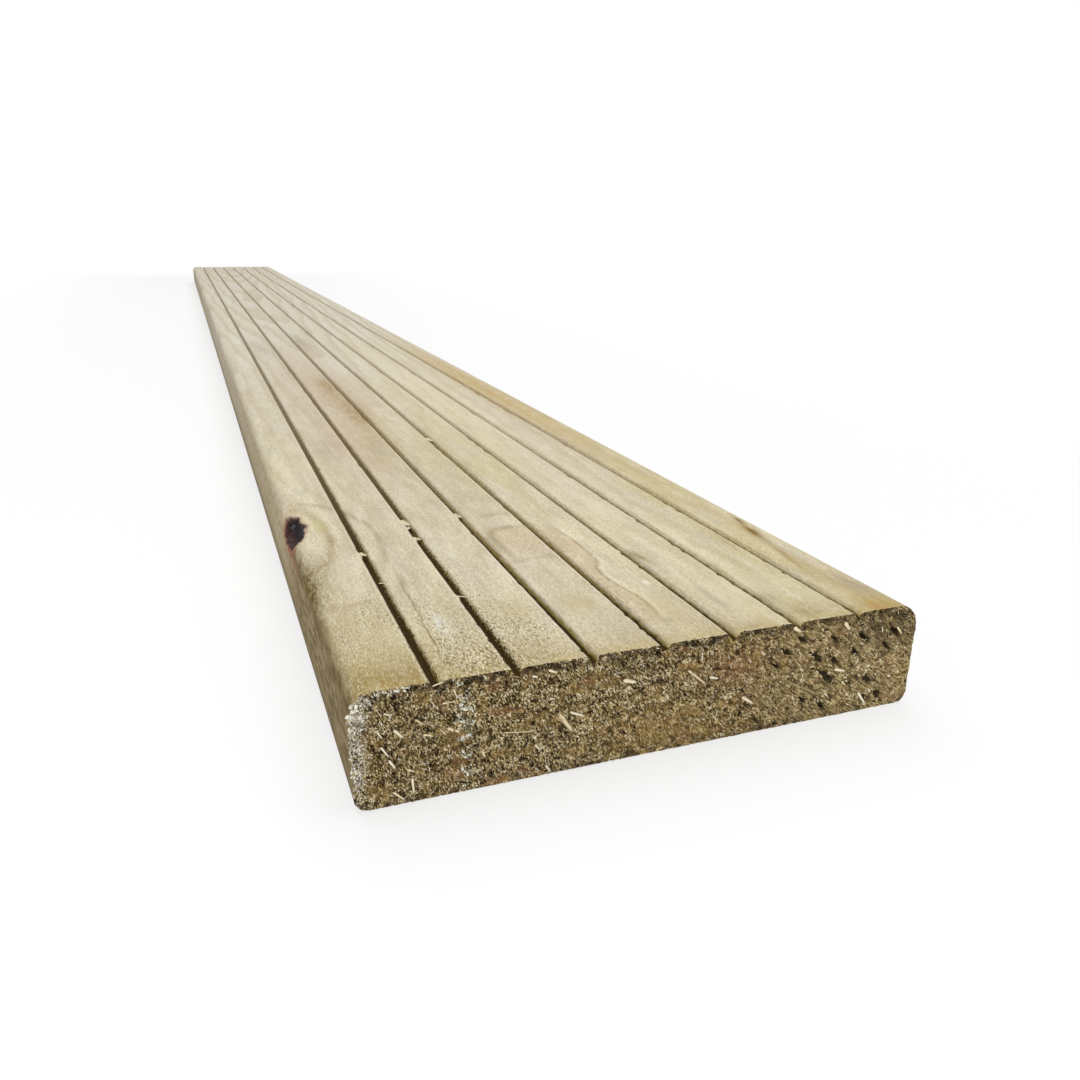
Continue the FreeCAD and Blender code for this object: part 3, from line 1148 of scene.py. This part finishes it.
# Loose slivers on the walking face
# Two long fibres that came off the saw cut, one lying on the seventh land and one standing on the edge, and
# torn bits of lip that still bridge the grooves. Each has its root, run, bend, width and paleness.
loose_slivers = (
    ((45.2, 9.1, 0.0), (-4.1, -4.0, 0.35), (0.5, -0.3, 0.0), 0.3, 0.9),
    ((-64.0, -0.2, -0.2), (-0.7, -0.4, 2.0), (-0.3, 0.0, 0.0), 0.35, 0.4),
    ((-37.8, 111.0, -0.5), (2.4, -6.0, -0.1), (0.2, 0.2, -0.1), 3.2, 0.5),
    ((-37.8, 101.0, -0.5), (2.3, 2.8, -0.1), (0.1, 0.1, -0.1), 2.4, 0.4),
    ((-37.8, 93.0, -0.5), (2.5, -2.4, -0.1), (0.1, 0.1, -0.1), 2.0, 0.4),
    ((-37.6, 43.8, -0.2), (2.9, -1.6, 0.0), (0.1, 0.0, -0.1), 0.6, 0.6),
    ((-19.8, 112.0, -0.5), (2.4, -4.0, -0.1), (0.1, 0.0, -0.1), 2.5, 0.4),
    ((-55.6, 84.5, -0.5), (2.3, -2.4, -0.1), (0.1, 0.0, -0.1), 2.2, 0.4),
    ((-54.2, 61.0, -1.0), (1.3, -1.2, 0.4), (0.0, 0.0, -0.2), 0.7, 0.8),
    ((-1.8, 224.0, -0.5), (2.6, -7.0, -0.2), (0.2, 0.2, -0.1), 2.6, 0.5),
)
root, *loose = (np.array(column) for column in zip(*loose_slivers))
near_edge = (0, -half_length, face_height)
fibre_piece("loose_slivers", (root + near_edge, *loose), long_rings, pale_splinter, (0, 0, 1), chip_tip)

# Weathered fray
# Bleached grey-white fluff that stands out along the left edge of the near end, and a pale greenish trail
# of it down the face, where wet fibres dried.
bleached_fibre = fibre_finish("bleached_fibre", (
    (0.0, shade(122, 111, 88)),
    (0.45, shade(194, 187, 168)),
    (1.0, shade(240, 236, 224)),
), patches=False)
fluff_fibre = fibre_finish("fluff_fibre", (
    (0.0, shade(128, 122, 94)),
    (0.4, shade(196, 194, 166)),
    (1.0, shade(246, 245, 232)),
), patches=False)
trail_across = -48.0
trail_wander = 1.2
fringe_end = -57.0
fray_reach = 2.6
fray_wander = 2.0
fray_corner = 2.4


def edge_fray(across, up):
    """Thick along the left edge, broad at the upper corner, with a thin fringe along the walking face."""
    wobble = fray_wander * noise.noise(Vector((9, up / 3, 0)))
    reach = fray_reach + wobble + fray_corner * eased(up, 14, face_height)
    edge = (1 - eased(across + half_width, 0.5 * reach, reach + 0.6)) * eased(up, 4.0, 9.0)
    fringe = eased(up, face_height - 0.9, face_height - 0.3) * (1 - eased(across, fringe_end - 6, fringe_end))
    return max(edge, 0.7 * fringe)


def corner_lumps(across, up):
    """Only at the upper left corner."""
    return edge_fray(across, up) * eased(up, 18, 23) * (1 - eased(across + half_width, 2.0, 4.5))


def fluff_trail(across, up):
    """A broken trail down the face, thickest at the top."""
    wobble = trail_wander * noise.noise(Vector((4, up / 5, 0)))
    broken = eased(noise.noise(Vector((across / 3, up / 2.2, 8))), -0.2, 0.15)
    trail = 1 - eased(abs(across - trail_across - wobble), 0.4, 2.2)
    return trail * broken * (0.3 + 0.7 * eased(up, 7, 19))


fray_shape = ((0.5, 1.3), (0.35, 0.85), (5, 60), 240, 100)
lump_shape = ((0.7, 1.4), (0.8, 1.5), (5, 60), 215, 100)
fluff_shape = ((0.5, 1.6), (0.35, 0.9), (5, 60), -60, 100)
pale_tints = (1.2, 1.0)

# What grows on the near end only: name, seed of its random draws, tries, and the rest as in growths
pale_growths = (
    ("fray", 91, 40000, edge_fray, fray_shape, pale_tints, (0.5, 0.4), long_rings, bleached_fibre),
    ("lumps", 92, 14000, corner_lumps, lump_shape, pale_tints, (1.0, 0.4), long_rings, bleached_fibre),
    ("fluff", 93, 44000, fluff_trail, fluff_shape, pale_tints, (0.1, 0.4), long_rings, fluff_fibre),
)
for name, seed, *growth in pale_growths:
    grow("near_end_" + name, np.random.default_rng(seed), -1, *growth)

# The studio
# A white floor that keeps the board's shadow, a broad softbox overhead, a small one in front of the near end
# and a dim white surround. The camera stands low, to the left of the near end.
camera_place = Vector((-94.7, -1067.2, 119.0)) * MM
camera_aim = Vector((-1.8, -822.7, 28.0)) * MM
camera_roll_deg = 0.63
camera_lens = 30.54
film_width = 36.0
nearest_seen = 0.005

camera_data = bpy.data.cameras.new("photo_camera")
camera_data.lens = camera_lens
camera_data.sensor_width = film_width
camera_data.clip_start = nearest_seen
camera = bpy.data.objects.new("photo_camera", camera_data)
camera.location = camera_place
level_aim = (camera_aim - camera_place).to_track_quat("-Z", "Y")
camera.rotation_euler = (level_aim @ Quaternion((0, 0, 1), math.radians(camera_roll_deg))).to_euler()
scene.collection.objects.link(camera)
scene.camera = camera

floor_half_size = 12.0
floor_drop = 0.2 * MM
floor_shape = bmesh.new()
bmesh.ops.create_grid(floor_shape, x_segments=1, y_segments=1, size=floor_half_size)
bmesh.ops.translate(floor_shape, verts=floor_shape.verts, vec=(0, 0, -floor_drop))
floor_mesh = bpy.data.meshes.new("studio_floor")
floor_shape.to_mesh(floor_mesh)
floor_shape.free()
floor = bpy.data.objects.new("studio_floor", floor_mesh)
scene.collection.objects.link(floor)

white = (1, 1, 1, 1)
paper_grey = (0.94, 0.94, 0.94, 1)
glow_by_board = 0.6
shadow_reach = (0.08, 0.4)
paper = bpy.data.materials.new("white_paper")
paper.use_nodes = True
paper.node_tree.nodes.clear()
place = Field(paper.node_tree).node("ShaderNodeTexCoord", {}, {}, "Object")
gap_across = abs(place.part("X"))
gap_along = abs(place.part("Y")) - half_length * MM
gap = gap_across.math("MAXIMUM", gap_across, gap_along)
rays = ("Is Camera Ray", "Is Glossy Ray", "Is Transmission Ray")
seen = sum(place.node("ShaderNodeLightPath", {}, {}, ray) for ray in rays)
glow = place.node("ShaderNodeEmission", {}, {"Color": white, "Strength": 1.0})
matt = place.node("ShaderNodeBsdfDiffuse", {}, {"Color": paper_grey})
share = seen * (glow_by_board + (1 - glow_by_board) * gap.rise(*shadow_reach))
surface = place.node("ShaderNodeMixShader", {}, {0: share, 1: matt, 2: glow})
output = paper.node_tree.nodes.new("ShaderNodeOutputMaterial")
paper.node_tree.links.new(surface.socket, output.inputs["Surface"])
floor_mesh.materials.append(paper)

surround_strength = 0.45
surround = bpy.data.worlds.new("studio_surround")
surround.use_nodes = True
scene.world = surround
background = surround.node_tree.nodes["Background"]
seen = sum(Field(surround.node_tree).node("ShaderNodeLightPath", {}, {}, ray) for ray in rays)
strength = surround_strength + (1 - surround_strength) * seen
surround.node_tree.links.new(strength.socket, background.inputs["Strength"])
background.inputs["Color"].default_value = white


def softbox(name, place, aim, width, length, watts):
    """A soft rectangular lamp, turned towards a point. Metres."""
    lamp_data = bpy.data.lights.new(name, "AREA")
    lamp_data.shape = "RECTANGLE"
    lamp_data.size = width
    lamp_data.size_y = length
    lamp_data.energy = watts
    lamp = bpy.data.objects.new(name, lamp_data)
    lamp.location = place
    lamp.rotation_euler = (Vector(aim) - Vector(place)).to_track_quat("-Z", "Y").to_euler()
    scene.collection.objects.link(lamp)


softbox("overhead_softbox", place=(0.25, 0.2, 1.7), aim=(0.25, 0.2, 0.0), width=2.0, length=3.2, watts=24.0)
softbox("front_softbox", place=(-0.55, -1.95, 0.9), aim=(0.0, -0.9, 0.0), width=0.5, length=0.5, watts=10.3)
